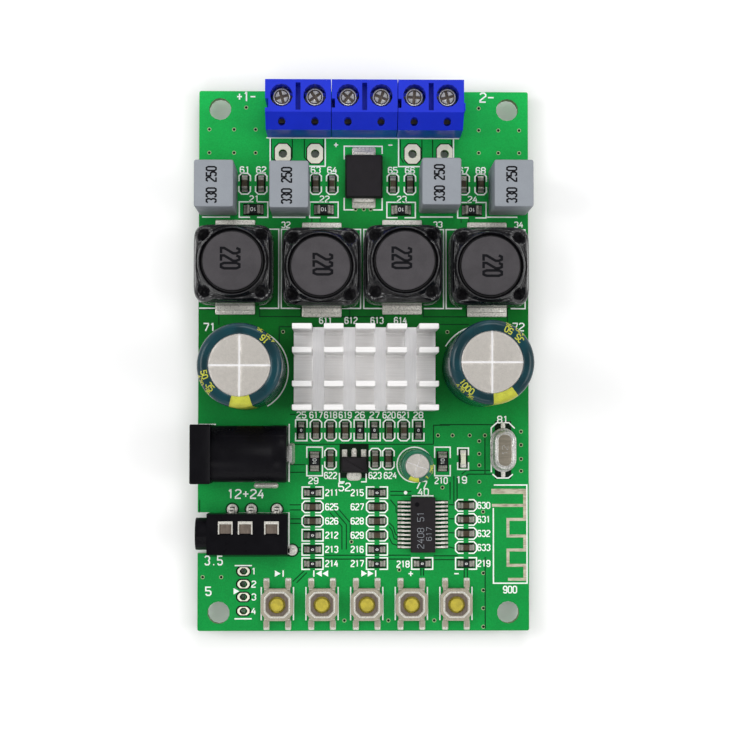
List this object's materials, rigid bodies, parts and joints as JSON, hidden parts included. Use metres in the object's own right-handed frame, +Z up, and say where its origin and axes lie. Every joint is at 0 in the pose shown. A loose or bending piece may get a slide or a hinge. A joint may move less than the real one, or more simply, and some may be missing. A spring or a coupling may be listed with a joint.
{
  "type": "audio amplifier board",
  "caption": "Green circuit board with screw terminals, shielded coils, capacitors, a finned heatsink, power and audio jacks and push buttons: a stereo power amplifier module.",
  "frame": {"origin": "centre of the circuit board's underside", "axes": "+X to the right with the screw terminals at the top, +Y towards the screw terminals, +Z up out of the component side"},
  "size_m": [0.0524, 0.085, 0.0236],
  "materials": {
    "solder_mask_board": "satin green solder mask on glass fibre laminate",
    "terminal_blue": "moulded, fine satin",
    "plated_steel": "bright plated",
    "tinned_brass": "tinned",
    "film_grey": "fine satin",
    "coil_varnish": "glossy black varnish on ferrite",
    "capacitor_sleeve": "shrunk glossy sleeve on an aluminium can",
    "heatsink_aluminium": "bright extruded",
    "pad_rubber": "matt",
    "chip_epoxy": "moulded epoxy",
    "jack_black": "moulded, satin",
    "plunger_yellow": "moulded, satin",
    "led_white": "clear resin over a white base"
  },
  "bodies": {
    "root": {"circuit_board": "solder_mask_board", "terminal_housing_1": "terminal_blue", "terminal_housing_2": "terminal_blue", "terminal_housing_3": "terminal_blue", "crystal": "plated_steel", "button_cover_1": "plated_steel", "button_cover_2": "plated_steel", "button_cover_3": "plated_steel", "button_cover_4": "plated_steel", "button_cover_5": "plated_steel", "terminal_clamp_1": "tinned_brass", "terminal_clamp_2": "tinned_brass", "terminal_clamp_3": "tinned_brass", "terminal_clamp_4": "tinned_brass", "terminal_clamp_5": "tinned_brass", "terminal_clamp_6": "tinned_brass", "power_jack_pin": "tinned_brass", "power_jack_spring": "tinned_brass", "film_capacitor_1": "film_grey", "film_capacitor_2": "film_grey", "film_capacitor_3": "film_grey", "film_capacitor_4": "film_grey", "power_inductor_1": "coil_varnish", "power_inductor_2": "coil_varnish", "power_inductor_3": "coil_varnish", "power_inductor_4": "coil_varnish", "main_capacitor_left": "capacitor_sleeve", "main_capacitor_right": "capacitor_sleeve", "filter_capacitor": "capacitor_sleeve", "heatsink": "heatsink_aluminium", "thermal_pad": "pad_rubber", "amplifier_chip": "chip_epoxy", "controller_chip": "chip_epoxy", "voltage_regulator": "chip_epoxy", "protection_diode": "chip_epoxy", "button_base_1": "chip_epoxy", "button_base_2": "chip_epoxy", "button_base_3": "chip_epoxy", "button_base_4": "chip_epoxy", "button_base_5": "chip_epoxy", "power_jack_housing": "jack_black", "audio_jack": "jack_black", "led": "led_white"},
    "screw_1": {"terminal_screw_1": "plated_steel"},
    "screw_2": {"terminal_screw_2": "plated_steel"},
    "screw_3": {"terminal_screw_3": "plated_steel"},
    "screw_4": {"terminal_screw_4": "plated_steel"},
    "screw_5": {"terminal_screw_5": "plated_steel"},
    "screw_6": {"terminal_screw_6": "plated_steel"},
    "guard_1": {"wire_guard_1": "plated_steel"},
    "guard_2": {"wire_guard_2": "plated_steel"},
    "guard_3": {"wire_guard_3": "plated_steel"},
    "guard_4": {"wire_guard_4": "plated_steel"},
    "guard_5": {"wire_guard_5": "plated_steel"},
    "guard_6": {"wire_guard_6": "plated_steel"},
    "button_1": {"button_plunger_1": "plunger_yellow"},
    "button_2": {"button_plunger_2": "plunger_yellow"},
    "button_3": {"button_plunger_3": "plunger_yellow"},
    "button_4": {"button_plunger_4": "plunger_yellow"},
    "button_5": {"button_plunger_5": "plunger_yellow"}
  },
  "joints": [
    {"name": "guard_lift_1", "type": "slide", "parent": "root", "child": "guard_1", "axis": [0, 0, 1], "range_m": [-0.0015, 0.001]},
    {"name": "screw_turn_1", "type": "hinge", "parent": "guard_1", "child": "screw_1", "pos_m": [-0.0127, 0.03995, 0.009], "axis": [0, 0, 1], "range_deg": [-1080, 720]},
    {"name": "guard_lift_2", "type": "slide", "parent": "root", "child": "guard_2", "axis": [0, 0, 1], "range_m": [-0.0015, 0.001]},
    {"name": "screw_turn_2", "type": "hinge", "parent": "guard_2", "child": "screw_2", "pos_m": [-0.00762, 0.03995, 0.009], "axis": [0, 0, 1], "range_deg": [-1080, 720]},
    {"name": "guard_lift_3", "type": "slide", "parent": "root", "child": "guard_3", "axis": [0, 0, 1], "range_m": [-0.0015, 0.001]},
    {"name": "screw_turn_3", "type": "hinge", "parent": "guard_3", "child": "screw_3", "pos_m": [-0.00254, 0.03995, 0.009], "axis": [0, 0, 1], "range_deg": [-1080, 720]},
    {"name": "guard_lift_4", "type": "slide", "parent": "root", "child": "guard_4", "axis": [0, 0, 1], "range_m": [-0.0015, 0.001]},
    {"name": "screw_turn_4", "type": "hinge", "parent": "guard_4", "child": "screw_4", "pos_m": [0.00254, 0.03995, 0.009], "axis": [0, 0, 1], "range_deg": [-1080, 720]},
    {"name": "guard_lift_5", "type": "slide", "parent": "root", "child": "guard_5", "axis": [0, 0, 1], "range_m": [-0.0015, 0.001]},
    {"name": "screw_turn_5", "type": "hinge", "parent": "guard_5", "child": "screw_5", "pos_m": [0.00762, 0.03995, 0.009], "axis": [0, 0, 1], "range_deg": [-1080, 720]},
    {"name": "guard_lift_6", "type": "slide", "parent": "root", "child": "guard_6", "axis": [0, 0, 1], "range_m": [-0.0015, 0.001]},
    {"name": "screw_turn_6", "type": "hinge", "parent": "guard_6", "child": "screw_6", "pos_m": [0.0127, 0.03995, 0.009], "axis": [0, 0, 1], "range_deg": [-1080, 720]},
    {"name": "button_press_1", "type": "slide", "parent": "root", "child": "button_1", "axis": [0, 0, 1], "range_m": [-0.00025, 0], "stiffness_N_per_m": 500, "springref_m": 0.0001},
    {"name": "button_press_2", "type": "slide", "parent": "root", "child": "button_2", "axis": [0, 0, 1], "range_m": [-0.00025, 0], "stiffness_N_per_m": 500, "springref_m": 0.0001},
    {"name": "button_press_3", "type": "slide", "parent": "root", "child": "button_3", "axis": [0, 0, 1], "range_m": [-0.00025, 0], "stiffness_N_per_m": 500, "springref_m": 0.0001},
    {"name": "button_press_4", "type": "slide", "parent": "root", "child": "button_4", "axis": [0, 0, 1], "range_m": [-0.00025, 0], "stiffness_N_per_m": 500, "springref_m": 0.0001},
    {"name": "button_press_5", "type": "slide", "parent": "root", "child": "button_5", "axis": [0, 0, 1], "range_m": [-0.00025, 0], "stiffness_N_per_m": 500, "springref_m": 0.0001}
  ],
  "couplings": [
    {"joint": "screw_turn_1", "follows": "guard_lift_1", "rad_per_m": 12566},
    {"joint": "screw_turn_2", "follows": "guard_lift_2", "rad_per_m": 12566},
    {"joint": "screw_turn_3", "follows": "guard_lift_3", "rad_per_m": 12566},
    {"joint": "screw_turn_4", "follows": "guard_lift_4", "rad_per_m": 12566},
    {"joint": "screw_turn_5", "follows": "guard_lift_5", "rad_per_m": 12566},
    {"joint": "screw_turn_6", "follows": "guard_lift_6", "rad_per_m": 12566}
  ]
}
